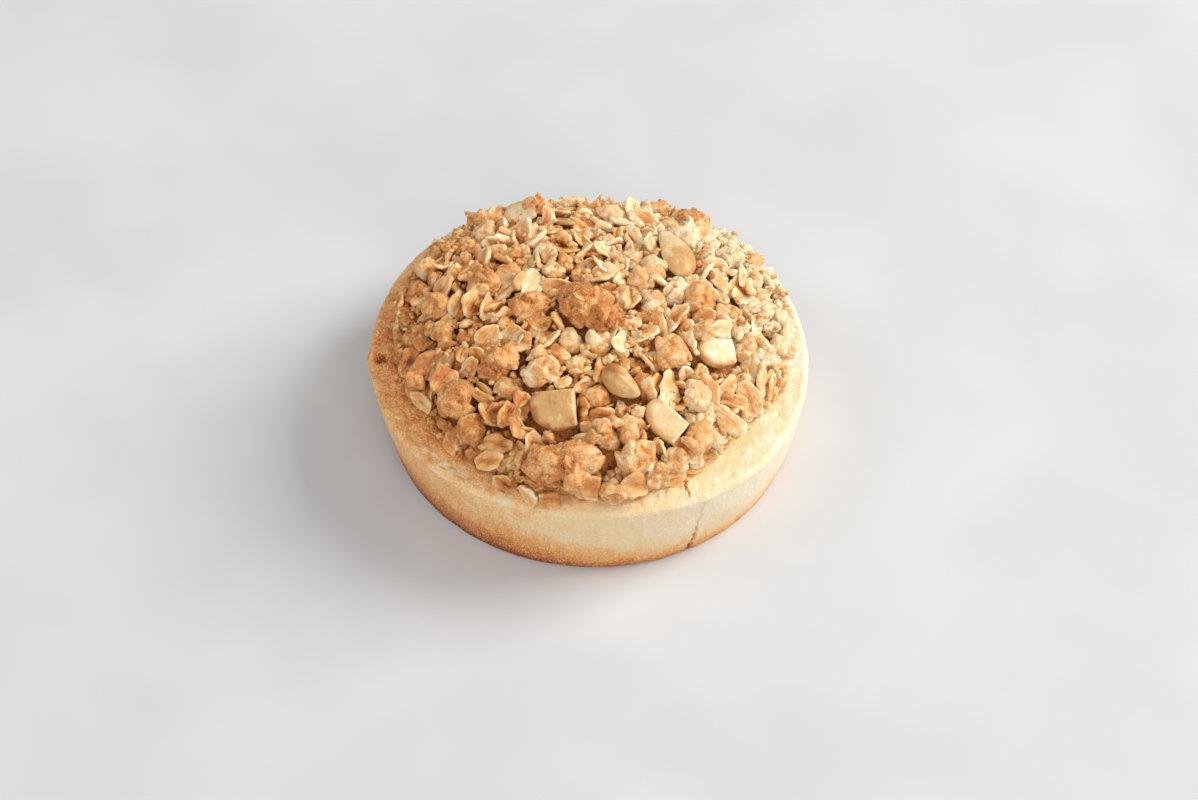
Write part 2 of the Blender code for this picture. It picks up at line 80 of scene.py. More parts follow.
# Crack at the front right and chip at the left, as in the part
RIM_CRACK_BEARING, RIM_CRACK_INNER, RIM_CRACK_OUTER = -61, 43, 49.6
WALL_CRACK_BEARING, WALL_CRACK_LEAN, WALL_CRACK_TOP = -58, 2.2, 21.5
CRACK_DEPTH = 1.5
CHIP_BEARING, CHIP_RADIUS, CHIP_INSET, CHIP_DEPTH = -176, 1.9, 2.4, 1.4
KNOB, KNOB_WIDTH = 0.9, 4.5

# Steps up the pastry's rounded edges, its wall and its top, and the side where it is brownest
ROUND_STEPS, WALL_STEPS, TOP_STEPS = 6, 45, 24
BROWN_BEARING = -140

# Toppings: name, shape, bearing, distance, (length, width, height), turn, tilt, how toasted.
# The bearing also seeds a topping's draws, as a float
TOPPINGS = (
    ("toasted_lump_top", "lump", -128.0, 2.8, (13.5, 12, 9), -38, 0, 0.24),
    ("toasted_lump_front", "lump", -97.5, 40.3, (19.5, 10, 7.5), 6, 0, 0.18),
    ("lump_front_right", "lump", -74.5, 39.8, (10, 9.5, 7.5), -20, 0, 0.02),
    ("lump_left", "lump", -142.0, 37.8, (10.5, 10.5, 6.5), 30, 0, 0.2),
    ("lump_mid_left", "lump", -141.5, 26.3, (11, 8.5, 7), 25, 0, 0.28),
    ("lump_pale", "lump", -117.5, 22.8, (10, 7.5, 6.5), 12, 0, 0.02),
    ("lump_flat", "lump", -177.0, 14.2, (10, 8.5, 6.5), 18, 0, 0.16),
    ("lump_right", "lump", -36.0, 23, (9.5, 9.5, 6), 40, 0, 0.06),
    ("lump_upper_left", "lump", 164.5, 25.9, (8.5, 9, 6.5), 0, 0, 0.22),
    ("lump_back", "lump", 111.5, 38.6, (9.5, 8.5, 6.5), 15, 0, 0.24),
    ("lump_back_right", "lump", 55.0, 42, (10, 9, 6), -30, 0, 0.26),
    ("lump_back_left", "lump", 126.5, 43.5, (11, 8.5, 5.5), 20, 0, 0.14),
    ("nut_nib", "nib", -72.5, 24, (10.5, 6.5, 6), -42, 0, 0.16),
    ("almond_long", "nib", 40.5, 26.4, (17, 8.5, 5), 108, 6, -0.02),
    ("almond_half", "slab", -104.5, 30.5, (10.5, 9.5, 3.8), 4, 9, 0.27),
    ("almond_cut", "slab", -61.0, 34.4, (10.5, 7, 3), -38, 6, -0.04),
    ("almond_white", "slab", -21.0, 31.1, (9, 7, 3), 14, 4, -0.08),
)

# Pieces where the photograph shows them: shape, x, y, length, turn, tilt, how toasted
PLACED = (
    ("oat", -10.4, -11.5, 8.6, 84, 14, 0),
    ("oat", -24.6, -0.6, 8, 64, 72, 0),
    ("oat", -28, 1, 8.2, 60, 74, 0),
    ("oat", -31.6, 2.2, 8, 70, 74, 0),
    ("oat", -14, 5, 9, 80, 20, -0.04),
    ("oat", 27.5, -22, 9, -60, 40, 0),
    ("oat", 18.5, -23, 9, 80, 35, -0.05),
    ("oat", 33, -17.5, 8.4, 43, 30, -0.06),
    ("oat", 37.6, -20.2, 9.4, -64, 38, 0),
    ("oat", 33, -26.4, 9.2, -31, 32, 0.04),
    ("nugget", 20.4, -38.6, 6.4, -60, 0, -0.06),
    ("nugget", 26.6, -6.4, 7.6, 20, 0, 0.1),
    ("oat", 31.6, -6.4, 8, 10, 30, 0.06),
    ("oat", 40.6, -14, 9, 80, 48, 0),
    ("nugget", 41.8, -7.8, 6.4, 10, 0, 0),
    ("nugget", 26.7, -27.8, 6.4, 0, 0, 0.04),
    ("oat", -38, -12, 8.4, 50, 24, 0.05),
    ("oat", -33.5, -19, 8, 60, 30, 0),
    ("oat", -22.5, -38.5, 7.2, 15, 14, -0.05),
    ("oat", -18.6, -42.4, 6.2, -30, 26, -0.1),
    ("oat", -13.2, -45.6, 6.2, -50, 44, -0.1),
    ("oat", -7.5, -46.6, 7, 10, 24, -0.08),
    ("nugget", -2.6, -46, 5.6, 20, 10, 0),
    ("oat", 1.4, -47, 7.2, -10, 16, -0.06),
    ("nugget", 6, -46.4, 6, 10, 0, -0.02),
    ("oat", 11, -45.4, 7.4, 15, 18, -0.06),
    ("nugget", 16, -43, 6, 30, 0, 0),
    ("nugget", -37.4, 2.7, 7.4, 0, 0, 0.12),
    ("nugget", 2.2, -26.5, 6.4, 70, 0, 0.05),
    ("slice", 1, -33.2, 6, -15, 34, -0.2),
    ("slice", -1.4, -35.4, 4.6, 25, 20, -0.25),
    ("oat", -15.4, -28, 7.4, 84, 48, 0.1),
    ("oat", -16.4, -34, 6.8, 110, 58, 0.1),
    ("oat", -18.4, -31, 7.2, 60, 40, 0.05),
    ("oat", -20.8, -36.2, 7.6, -14, 26, -0.04),
    ("nugget", -18.5, -22.8, 6.6, 20, 0, 0),
    ("nugget", 26.3, 2.8, 8.6, 10, 0, 0.14),
    ("nugget", 15.2, 38.5, 7, 0, 0, 0.12),
    ("nugget", 24.7, -24.3, 7.4, 30, 0, 0.05),
    ("nugget", -27.7, -31.4, 7.4, 40, 0, 0),
    ("nugget", 25, -33.4, 7.6, -20, 0, 0.02),
    ("slice", 13, 9, 8, -60, 30, -0.14),
    ("slice", -17, 5, 6, 70, 60, 0.06),
    ("oat", -42.6, -9.8, 7.6, 64, 34, 0.02),
    ("nugget", -40.8, -15.6, 6.4, 50, 0, 0.05),
    ("oat", -38.4, -20.6, 7.8, -40, 36, 0),
    ("nugget", 3, -7.2, 7.8, -50, 0, 0.3),
    ("slice", -17.5, 34, 9.5, -35, 40, -0.28),
)

# Scattered pieces, layer by layer: kind, how many, and their lengths
FRINGE = (
    ("oat", 70, (5, 8)),
    ("bit", 130, (2.6, 4.8)),
    ("nugget", 26, (4.6, 6.6)),
    ("oat", 60, (4.4, 7.4)),
    ("bit", 60, (2, 3.8)),
)
LAYERS = (
    ("nugget", 56, (5, 8)),
    ("bit", 150, (2.6, 4.4)),
    ("oat", 130, (6, 8.6)),
    ("nugget", 50, (4.4, 7.4)),
    ("slice", 5, (7, 9.5)),
    ("oat", 120, (5.6, 8.8)),
    ("bit", 80, (2.4, 4.4)),
    ("oat", 120, (5.2, 8.4)),
    ("bit", 80, (1.8, 3.2)),
)
TILTS = {"oat": (10, 78), "nugget": (0, 90), "bit": (0, 90), "slice": (8, 35)}
# Loose crumbs: name, how many, their lengths, and how far out they lie as a share of the heap
CRUMBS = (
    ("loose_crumbs", 240, (0.9, 2.2), 1.03),
    ("fine_crumbs", 800, (0.3, 0.8), 1.06),
)
LOW_LAYERS = 3
SPOT_TRIES, POSE_TRIES, LAY_TRIES, HOLLOW_TRIES = 14, 7, 3, 4
SPILL_BEARING = -84
SUNK_SHARE = {"oat": 0.27, "nugget": 0.38, "bit": 0.38, "slice": 0.25, "crumb": 0.3}
# How far a piece may stand over the heap's surface, and how much of it may lie over a topping
MOST_COVER, MOST_OVERLAP = 2.3, 0.2
FOOT_THINNING, BACK_THINNING, BACK = 0.45, 0.7, 30
# Where the crumble keeps off the rim: bearing, by how much, and how narrowly
RIM_MARGIN = 1.2
BARE_RIM = ((-160, 4, 1.5), (-38, 6, 6), (92, 2.2, 4))
# The scene's own core, and the hollows in the heap over it
CORE_DROP, CORE_RINGS, CORE_SIDES, CORE_SKIRT = 1.6, 70, 360, 0.3
HOLLOW_DEPTH, HOLLOW_GRAIN = 1.8, 7
LARGE_LUMP = 12.5
CELL = 0.4
REACH = 56


def wave(bearing, peak, count):
    return math.cos(count * math.radians(bearing - peak))


def towards(bearing, peak, power):
    """1 at a bearing and 0 from a quarter turn away, narrower for a higher power."""
    return max(0, wave(bearing, peak, 1)) ** power


def ripple(point, grain, offset):
    """Smooth noise between about -1 and 1 whose bumps are one grain apart."""
    return noise.noise(Vector(point) / grain + Vector((offset, offset * 1.7, -offset)))


def nearest_cells(point, grain, offset):
    """Distances to the middles of the nearest of random cells a grain apart, and those middles."""
    return noise.voronoi(Vector(point) / grain + Vector((offset, -offset, offset * 0.6)))


def cobbles(point, grain, offset):
    """Rounded bumps one grain across with sharp creases between them, from 0 to about 1."""
    near = nearest_cells(point, grain, offset)[0]
    return min(1, near[1] - near[0])


def smooth(value, low, high):
    """0 below low, 1 above high and a smooth rise between."""
    t = min(1, max(0, (value - low) / (high - low)))
    return t * t * (3 - 2 * t)


def smooth_array(values, low, high):
    t = np.clip((values - low) / (high - low), 0, 1)
    return t * t * (3 - 2 * t)


def at(bearing, distance, height=0):
    angle = math.radians(bearing)
    return Vector((distance * math.cos(angle), distance * math.sin(angle), height))


def bearing_of(x, y):
    return math.degrees(math.atan2(y, x))


def linear(red, green, blue):
    """A screen colour of 0 to 255 as the linear colour a shader takes."""
    return (*Color((red / 255, green / 255, blue / 255)).from_srgb_to_scene_linear(), 1)


# Materials

class Surface:
    """A Principled material and the few kinds of nodes that its pattern needs."""

    def __init__(self, name):
        self.material = bpy.data.materials.new(name)
        self.material.use_nodes = True
        self.tree = self.material.node_tree
        self.shader = self.tree.nodes["Principled BSDF"]
        self.place = self.node("TexCoord", {}).outputs["Object"]

    def put(self, socket, value):
        """Links a value to a socket, or sets it there where it is the same all over."""
        if isinstance(value, bpy.types.NodeSocket):
            self.tree.links.new(value, socket)
        else:
            socket.default_value = value

    def node(self, kind, inputs, **settings):
        made = self.tree.nodes.new("ShaderNode" + kind)
        for key, value in settings.items():
            setattr(made, key, value)
        for key, value in inputs.items():
            self.put(made.inputs[key], value)
        return made

    def attribute(self, name):
        return self.node("Attribute", {}, attribute_name=name).outputs["Fac"]

    def speckle(self, grain, detail=3, stretch=None):
        """Noise with bumps a grain apart, in millimetres, and drawn out where stretch is low."""
        place = self.vector("MULTIPLY", self.place, stretch) if stretch else self.place
        inputs = {"Vector": place, "Scale": 1 / (grain * MM), "Detail": detail, "Roughness": 0.6}
        return self.node("TexNoise", inputs).outputs["Fac"]

    def crumbs(self, grain):
        """Distance to the middle of the nearest crumb, in grains, and its random colour."""
        inputs = {"Vector": self.place, "Scale": 0.9 / (grain * MM), "Detail": 2}
        warp = self.node("TexNoise", inputs).outputs["Color"]
        place = self.vector("ADD", self.place, self.vector("MULTIPLY", warp, (grain * MM,) * 3))
        cells = self.node("TexVoronoi", {"Vector": place, "Scale": 1 / (grain * MM)})
        return cells.outputs["Distance"], cells.outputs["Color"]

    def math(self, operation, first, second):
        return self.node("Math", {0: first, 1: second}, operation=operation).outputs[0]

    def vector(self, operation, first, second):
        return self.node("VectorMath", {0: first, 1: second}, operation=operation).outputs[0]

    def remap(self, *values):
        """A value taken to another range: value, from least, from most, to least, to most."""
        names = ("Value", "From Min", "From Max", "To Min", "To Max")
        return self.node("MapRange", dict(zip(names, values))).outputs["Result"]

    def spread(self, pattern, low, high):
        """Noise, most of which is between 0.3 and 0.7, spread over another range."""
        return self.remap(pattern, 0.3, 0.7, low, high)

    def varied(self, value, *patterns):
        """A value varied by patterns of noise, each with the most that it adds or takes."""
        for pattern, most in patterns:
            value = self.math("ADD", value, self.spread(pattern, -most, most))
        return value

    def sugared(self, value, toast, sugar, least, strength):
        """A value lowered by grains of sugar, more so where the surface is toasted."""
        grains = self.remap(sugar, least, 0.68, 0, -strength)
        return self.math("ADD", value, self.math("MULTIPLY", grains, toast))

    def ramp(self, value, stops):
        made = self.node("ValToRGB", {"Fac": value})
        made.color_ramp.interpolation = "EASE"
        while len(made.color_ramp.elements) < len(stops):
            made.color_ramp.elements.new(0.5)
        for element, (position, colour) in zip(made.color_ramp.elements, stops):
            element.position = position
            element.color = linear(*colour)
        return made.outputs["Color"]

    def bumps(self, *layers):
        """Relief from (height, depth in millimetres) pairs, laid one on the other."""
        normal = None
        for height, depth in layers:
            inputs = {"Height": height, "Distance": depth * MM, "Strength": 1}
            if normal:
                inputs["Normal"] = normal
            normal = self.node("Bump", inputs).outputs["Normal"]
        self.put(self.shader.inputs["Normal"], normal)

    def finish(self, colour, roughness, sheen=0, softness=0, gloss=0.5):
        values = {
            "Base Color": colour,
            "Roughness": roughness,
            "Specular IOR Level": gloss,
            "Coat Weight": sheen,
            "Coat Roughness": 0.35,
            "Subsurface Weight": softness,
            "Subsurface Radius": (1, 0.85, 0.65),
            "Subsurface Scale": 1.2 * MM,
        }
        for name, value in values.items():
            self.put(self.shader.inputs[name], value)
        return self.material


# Colours by how toasted a place is
CRUST_TONES = (
    (0, (252, 239, 214)),
    (0.26, (249, 219, 170)),
    (0.5, (243, 177, 106)),
    (0.75, (208, 124, 68)),
    (1, (138, 72, 40)),
)
ALMOND_TONES = (
    (0, (246, 231, 204)),
    (0.3, (231, 201, 154)),
    (0.6, (211, 165, 105)),
    (1, (176, 110, 56)),
)
DOUGH_TONES = (
    (0, (253, 232, 196)),
    (0.22, (250, 211, 162)),
    (0.42, (238, 181, 114)),
    (0.66, (213, 137, 69)),
    (1, (118, 56, 16)),
)
OAT_TONES = (
    (0, (253, 233, 198)),
    (0.22, (249, 211, 163)),
    (0.42, (237, 182, 116)),
    (0.66, (211, 138, 70)),
    (1, (116, 58, 16)),
)


def pastry_surface():
    """Sandy shortcrust: cream where it is pale, golden to brown where it is baked."""
    made = Surface("sandy_shortcrust")
    toast = made.attribute("toast")
    cloud, sand, sugar = made.speckle(5, 4), made.speckle(0.55), made.speckle(0.32, 1)
    streak = made.speckle(1.6, stretch=(1, 1, 0.22))
    shade = made.varied(toast, (cloud, 0.06), (sand, 0.11), (streak, 0.06))
    colour = made.ramp(made.sugared(shade, toast, sugar, 0.54, 0.6), CRUST_TONES)
    made.bumps((streak, 0.14), (sand, 0.26), (sugar, 0.18))
    return made.finish(colour, made.spread(sand, 0.6, 0.82), softness=0.08, gloss=0.35)


def baked_surface(name, blush=0.12, grain=1.15, relief=0.22, sugary=0.3):
    """Baked dough: cream to golden to brown, under a crust of crumbs and sugar."""
    made = Surface(name)
    toast = made.attribute("toast")
    cloud, sand, sugar = made.speckle(4), made.speckle(0.45), made.speckle(0.32, 1)
    away, own = made.crumbs(grain)
    shade = made.varied(toast, (cloud, blush), (sand, 0.08))
    shade = made.math("ADD", shade, made.remap(own, 0.2, 0.8, -0.06, 0.06))
    # Darker in the creases between crumbs and paler on their middles, more for deeper relief: painted shade
    # and painted highlight
    shade = made.math("ADD", shade, made.remap(away, 0.35, 0.8, -0.3 * relief, 0.5 * relief))
    colour = made.ramp(made.sugared(shade, toast, sugar, 0.58, sugary), DOUGH_TONES)
    crumb = made.remap(away, 0.1, 0.8, 1, 0)
    made.bumps((crumb, relief), (made.speckle(0.9, 4), 0.3), (sand, 0.24))
    return made.finish(colour, made.spread(sand, 0.34, 0.58), softness=0.6)


def oat_surface():
    """Rolled oats: fine fibres along each flake, and cloudy golden patches."""
    made = Surface("rolled_oat")
    flat = made.node("CombineXYZ", {"X": made.attribute("along"), "Y": made.attribute("across")})
    inputs = {"Vector": made.vector("MULTIPLY", flat.outputs[0], (0.3, 2.2, 1)), "Scale": 1, "Detail": 3}
    fibre = made.node("TexNoise", inputs).outputs["Fac"]
    sand, cloud = made.speckle(0.5), made.speckle(3)
    shade = made.varied(made.attribute("toast"), (cloud, 0.19), (fibre, 0.09), (sand, 0.05))
    made.bumps((fibre, 0.3), (sand, 0.16))
    return made.finish(made.ramp(shade, OAT_TONES), made.spread(sand, 0.32, 0.52), softness=0.6)


def almond_surface():
    """Blanched almond: smooth ivory, honey-coloured towards its toasted edge."""
    made = Surface("toasted_almond")
    patch, fibre = made.speckle(3.5), made.speckle(0.6, stretch=(1, 0.3, 1))
    shade = made.varied(made.attribute("toast"), (patch, 0.24), (fibre, 0.1))
    made.bumps((patch, 0.35), (fibre, 0.08))
    colour = made.ramp(shade, ALMOND_TONES)
    return made.finish(colour, made.spread(fibre, 0.3, 0.48), sheen=0.08, softness=0.18)


# Meshes

def added(name, data):
    """A new object in the scene."""
    made = bpy.data.objects.new(name, data)
    bpy.context.scene.collection.objects.link(made)
    return made


def new_mesh(name, points, faces, material):
    mesh = bpy.data.meshes.new(name)
    mesh.from_pydata(points, [], faces)
    mesh.materials.append(material)
    return mesh


def mesh_piece(name, points, faces, material, slot, **attributes):
    """A piece from points in millimetres, with a number for each point in each attribute."""
    mesh = new_mesh(name, (np.asarray(points) * MM).tolist(), faces, material)
    for key, values in attributes.items():
        layer = mesh.attributes.new(key, "FLOAT", "POINT")
        layer.data.foreach_set("value", np.asarray(values, np.float32))
    mesh.polygons.foreach_set("use_smooth", [True] * len(mesh.polygons))
    mesh.update()
    made = added(name, mesh)
    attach(made, "root")
    return made


def icosphere(detail):
    shape = bmesh.new()
    bmesh.ops.create_icosphere(shape, subdivisions=detail, radius=1)
    points = np.array([vert.co for vert in shape.verts])
    faces = np.array([[vert.index for vert in face.verts] for face in shape.faces])
    shape.free()
    return points, faces


class Heap:
    """Many small shapes joined to one mesh piece for each kind."""

    def __init__(self):
        self.points, self.faces, self.values, self.count = [], [], {}, 0

    def add(self, points, faces, **values):
        self.points.append(points)
        self.faces.append(faces + self.count)
        self.count += len(points)
        for key, value in values.items():
            self.values.setdefault(key, []).append(np.broadcast_to(value, len(points)))

    def make(self, name, material, slot):
        values = {key: np.concatenate(parts) for key, parts in self.values.items()}
        faces = [face for part in self.faces for face in part.tolist()]
        mesh_piece(name, np.concatenate(self.points), faces, material, slot, **values)


# Pastry

def rim_radius(bearing):
    oval = RIM_OVAL * wave(bearing, RIM_OVAL_BEARING, 2)
    return RIM_RADIUS + oval + RIM_SQUARENESS * wave(bearing, RIM_SQUARE_BEARING, 4)


def foot_radius(bearing):
    return FOOT_RADIUS + FOOT_SKEW * wave(bearing, 0, 1) + FOOT_OVAL * wave(bearing, 0, 2)


def rim_sag(bearing, inset):
    place = at(bearing, rim_radius(bearing) - inset)
    dip = 0.5 + 0.5 * ripple(place, RIM_SAG_GRAIN, 3.1)
    return RIM_SAG * dip * max(0, 1 - inset / RIM_BAND) ** 0.5


def crust_bearings():
    """Bearings round the tart, closer together where the crack is."""
    bearings, bearing = [], -180
    while bearing < 180:
        bearings.append(bearing)
        away = min(abs(bearing - RIM_CRACK_BEARING), abs(bearing - WALL_CRACK_BEARING))
        bearing += 0.16 if away < 4.5 else 0.5
    return bearings


def crust_profile(bearing):
    """(distance, height, kind) up the pastry at one bearing. The kinds are foot, wall, lip and top."""
    foot, rim = foot_radius(bearing), rim_radius(bearing)
    lip = CRUST_HEIGHT - LIP_ROUND - rim_sag(bearing, 0)
    profile = [(foot * share, 0, "foot") for share in (0.5, 0.85)]
    for step in range(ROUND_STEPS):
        turn = math.pi / 2 * step / ROUND_STEPS
        profile.append((foot - FOOT_ROUND * (1 - math.sin(turn)), FOOT_ROUND * (1 - math.cos(turn)), "foot"))
    for step in range(WALL_STEPS + 1):
        share = step / WALL_STEPS
        distance = foot + (rim - foot) * share + WALL_BULGE * math.sin(math.pi * share)
        profile.append((distance, FOOT_ROUND + share * (lip - FOOT_ROUND), "wall"))
    for step in range(1, ROUND_STEPS + 1):
        turn = math.pi / 2 * step / ROUND_STEPS
        profile.append((rim - LIP_ROUND * (1 - math.cos(turn)), lip + LIP_ROUND * math.sin(turn), "lip"))
    for step in range(1, TOP_STEPS + 1):
        inset = LIP_ROUND + (RIM_BAND + 2 - LIP_ROUND) * step / TOP_STEPS
        profile.append((rim - inset, CRUST_HEIGHT - rim_sag(bearing, inset), "top"))
    profile.append((0.5 * rim, CRUST_HEIGHT, "top"))
    return profile


def crack_depth(bearing, distance, height, kind):
    """How deep the cracks cut here."""
    if kind in ("top", "lip"):
        share = (distance - RIM_CRACK_INNER) / (RIM_CRACK_OUTER - RIM_CRACK_INNER)
        if not 0 <= share <= 1:
            return 0
        jag = 1 * ripple((distance, 0, 0), 1.6, 4) + 0.8 * ripple((distance, 3, 0), 0.7, 9)
        middle = RIM_CRACK_BEARING + 0.5 * math.sin(5 * share) + jag
        half = 0.75 * (1 - 0.75 * share) + 0.1 * ripple((distance, 5, 0), 0.5, 2)
    else:
        if height > WALL_CRACK_TOP:
            return 0
        share = 1 - height / WALL_CRACK_TOP
        jag = 1.4 * ripple((height, 0, 0), 2.6, 7) + 0.9 * ripple((height, 3, 0), 1, 1)
        middle = WALL_CRACK_BEARING - WALL_CRACK_LEAN * share + jag
        half = 0.12 + 0.62 * smooth(share, 0.3, 0.85) + 0.1 * ripple((height, 5, 0), 0.7, 2)
    across = abs(math.radians(bearing - middle)) * distance
    return CRACK_DEPTH * min(1, 2.2 * half) * (1 - smooth(across / half, 0.35, 1.1))


def crust_toast(bearing, distance, height, kind):
    """How baked the pastry is here: its foot, more of the wall at the front left, and its rim."""
    left = 0.5 + 0.5 * wave(bearing, BROWN_BEARING, 1)
    place = at(bearing, 50, height)
    if kind in ("wall", "foot"):
        band = 12 + 6 * left ** 2 + 1.4 * ripple(place, 9, 2)
        value = 0.01 + 0.42 * left ** 3 + (0.52 + 0.06 * left ** 4) * (1 - smooth(height, -3, band))
        value += (0.16 + 0.2 * left ** 3) * (1 - smooth(height, -0.5, 4))
        return value + 0.05 * ripple(place, 16, 5)
    inset = rim_radius(bearing) - distance
    value = 0.01 + 0.37 * left ** 1.2 + 0.3 * towards(bearing, 172, 4)
    value += (0.08 + 0.1 * left) * smooth(inset, 2.5, 8)
    return value + 0.14 * ripple(at(bearing, distance), 4, 8) - 0.06 * smooth(inset, 1.2, 0)


def crust_point(bearing, distance, height, kind):
    """A point of the pastry with its crumbly relief, cracks and chip, and how baked it is there, with painted
    shade in the cracks and the chip.
    """
    place = at(bearing, distance, height)
    cut = crack_depth(bearing, distance, height, kind)
    grainy = 0.07 * ripple(place, 1.1, 6) + 0.05 * ripple(place, 0.5, 12)
    if kind == "wall":
        grainy += 0.08 * ripple((place.x, place.y, 0.25 * height), 1.8, 3)
        grainy -= 0.35 * smooth(ripple(place, 2.2, 15), 0.45, 0.6) * smooth(height, 5, 0)
    flare = (1 if kind == "wall" else 0.5) * WALL_ROUGHNESS * ripple(place, WALL_GRAIN, 9)
    beside = math.radians((bearing - CHIP_BEARING + 180) % 360 - 180) * 50 / KNOB_WIDTH
    flare += KNOB * math.exp(-beside ** 2) * smooth(height, 15, 22)
    if kind in ("top", "lip"):
        crumbly = 0.3 + 0.7 * towards(bearing, -175, 2)
        lumpy = 1.1 * cobbles(place, 2.6, 21) - 0.45 + 0.5 * ripple(place, 1.1, 30)
        height += 0.75 * crumbly * lumpy * smooth(place.xy.length, 43, 45)
    chipped = melted = 0
    if kind == "top":
        melted = towards(bearing, SPILL_BEARING, 10) * smooth(place.xy.length, 50.2, 47)
        melted *= 0.25 + cobbles(place, 4.2, 50)
        height += 1.5 * melted
        chip = (place - at(CHIP_BEARING, rim_radius(CHIP_BEARING) - CHIP_INSET, height)).length
        chipped = 1 - smooth(chip / CHIP_RADIUS + 0.3 * ripple(place, 1.2, 5), 0.5, 1.1)
        pitted = 0.18 * ripple(place, 2.2, 8) + 0.1 * ripple(place, 0.9, 18)
        height += pitted - 0.1 + grainy - cut - CHIP_DEPTH * chipped
    else:
        distance += flare + (grainy if distance > 40 and height > 0.01 else 0) - cut
    # The chip's hollow is darker: painted shade
    value = crust_toast(bearing, distance, height, kind) + 0.5 * chipped
    value += melted * (0.16 * ripple(place, 2.6, 33) - 0.04)
    # The cracks are darker by their depth: painted shade
    return at(bearing, distance, max(0, height)), value + 0.28 * min(1, cut)


def make_crust():
    bearings, levels = crust_bearings(), len(crust_profile(0))
    made = [crust_point(bearing, *place) for bearing in bearings for place in crust_profile(bearing)]
    made += [crust_point(-180, 0, 0, "foot"), (Vector((0, 0, CRUST_HEIGHT)), 0.3)]
    low, high = len(made) - 2, len(made) - 1
    faces = []
    for i in range(len(bearings)):
        here, there = i * levels, (i + 1) % len(bearings) * levels
        faces.append((low, there, here))
        for level in range(levels - 1):
            faces.append((here + level, there + level, there + level + 1, here + level + 1))
        faces.append((here + levels - 1, there + levels - 1, high))
    points, toast = zip(*made)
    crust = mesh_piece("pastry", points, faces, pastry_surface(), "pastry", toast=toast)
    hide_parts("pastry_crust")


# Heap

def heap_edge(bearing):
    oval = HEAP_OVAL * wave(bearing, 0, 2)
    return HEAP_RADIUS + HEAP_LOBES * wave(bearing, FRONT, 3) + oval - HEAP_SHIFT * wave(bearing, FRONT, 1)


def heap_share(x, y):
    return math.hypot(x, y) / heap_edge(bearing_of(x, y))


def heap_height(x, y):
    share = heap_share(x, y)
    crown = HEAP_RISE * (1 - share ** HEAP_FULLNESS)
    bumps = HEAP_UNEVENNESS * ripple((x, y, 0), HEAP_GRAIN, 1.3) * max(0, 1 - share ** 4)
    return max(HEAP_FOOT + HEAP_SIDE + crown + bumps, CRUST_HEIGHT)


def heap_normal(x, y):
    """The way out of the heap, from its slope across a millimetre."""
    fall_x = heap_height(x - 0.5, y) - heap_height(x + 0.5, y)
    fall_y = heap_height(x, y - 0.5) - heap_height(x, y + 0.5)
    return Vector((fall_x, fall_y, 1)).normalized()


def seat(x, y, turn, tilt, rise=0):
    """A frame on the heap: Z out of it, X turned from the line along +X, then raised and tilted."""
    out = heap_normal(x, y)
    right = (Vector((1, 0, 0)) - out * out.x).normalized()
    pose = Matrix((right, out.cross(right), out)).transposed().to_4x4()
    pose.translation = Vector((x, y, heap_height(x, y)))
    pose = pose @ Matrix.Rotation(math.radians(turn), 4, "Z") @ Matrix.Translation((0, 0, rise))
    return pose @ Matrix.Rotation(math.radians(tilt), 4, "X")


def crumble_limit(bearing):
    """How far out the crumble may reach: nearly to the rim's edge, but less in BARE_RIM."""
    limit = rim_radius(bearing) - RIM_MARGIN
    for peak, most, power in BARE_RIM:
        limit -= most * towards(bearing, peak, power)
    return limit


def core_edge(bearing):
    return min(heap_edge(bearing) - 1.2, crumble_limit(bearing) - 2.4)


def core_height(x, y):
    """The scene's own core: under the solid's, so that pieces lie in more than one layer."""
    share = math.hypot(x, y) / core_edge(bearing_of(x, y))
    if share > 1:
        return CRUST_HEIGHT
    body = heap_height(x, y) - CORE_DROP * smooth(share, 1, 0.85) - CRUST_HEIGHT
    return CRUST_HEIGHT + max(GAP, body * (1 - 0.8 * smooth(share, 0.84, 1)))


def make_core():
    """Bound sugar and crumbs under the loose pieces, with sand-like relief."""
    rings, sides = CORE_RINGS, CORE_SIDES
    points = [Vector((0, 0, core_height(0, 0)))]
    for ring in range(1, rings + 1):
        for side in range(sides):
            bearing = 360 * side / sides
            foot = at(bearing, HEAP_RADIUS)
            edge = core_edge(bearing) + 1.1 * ripple(foot, 5, 2) + 0.4 * ripple(foot, 1.6, 2)
            place = at(bearing, edge * ring / rings)
            inner = at(bearing, core_edge(bearing) * min(ring / rings, 0.999))
            place.z = core_height(inner.x, inner.y)
            fade = 1 if ring < rings - 2 else 0.3
            place.z += fade * (0.9 * cobbles(place, 2.8, 3) + 0.35 * ripple(place, 1, 5))
            points.append(place)
    points += [Vector((point.x, point.y, CRUST_HEIGHT - CORE_SKIRT)) for point in points[-sides:]]
    faces = [(0, 1 + side, 1 + (side + 1) % sides) for side in range(sides)]
    for ring in range(rings):
        for side in range(sides):
            here, there = 1 + ring * sides + side, 1 + ring * sides + (side + 1) % sides
            faces.append((here, here + sides, there + sides, there))
    faces.append(tuple(range(len(points) - 1, len(points) - sides - 1, -1)))
    toast = [0.78 - 0.38 * smooth(heap_share(point[0], point[1]), 0.84, 0.98) for point in points]
    core = mesh_piece("crumble_core", points, faces, baked_surface("bound_crumb"), "crumble", toast=toast)
    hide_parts("oat_crumble")


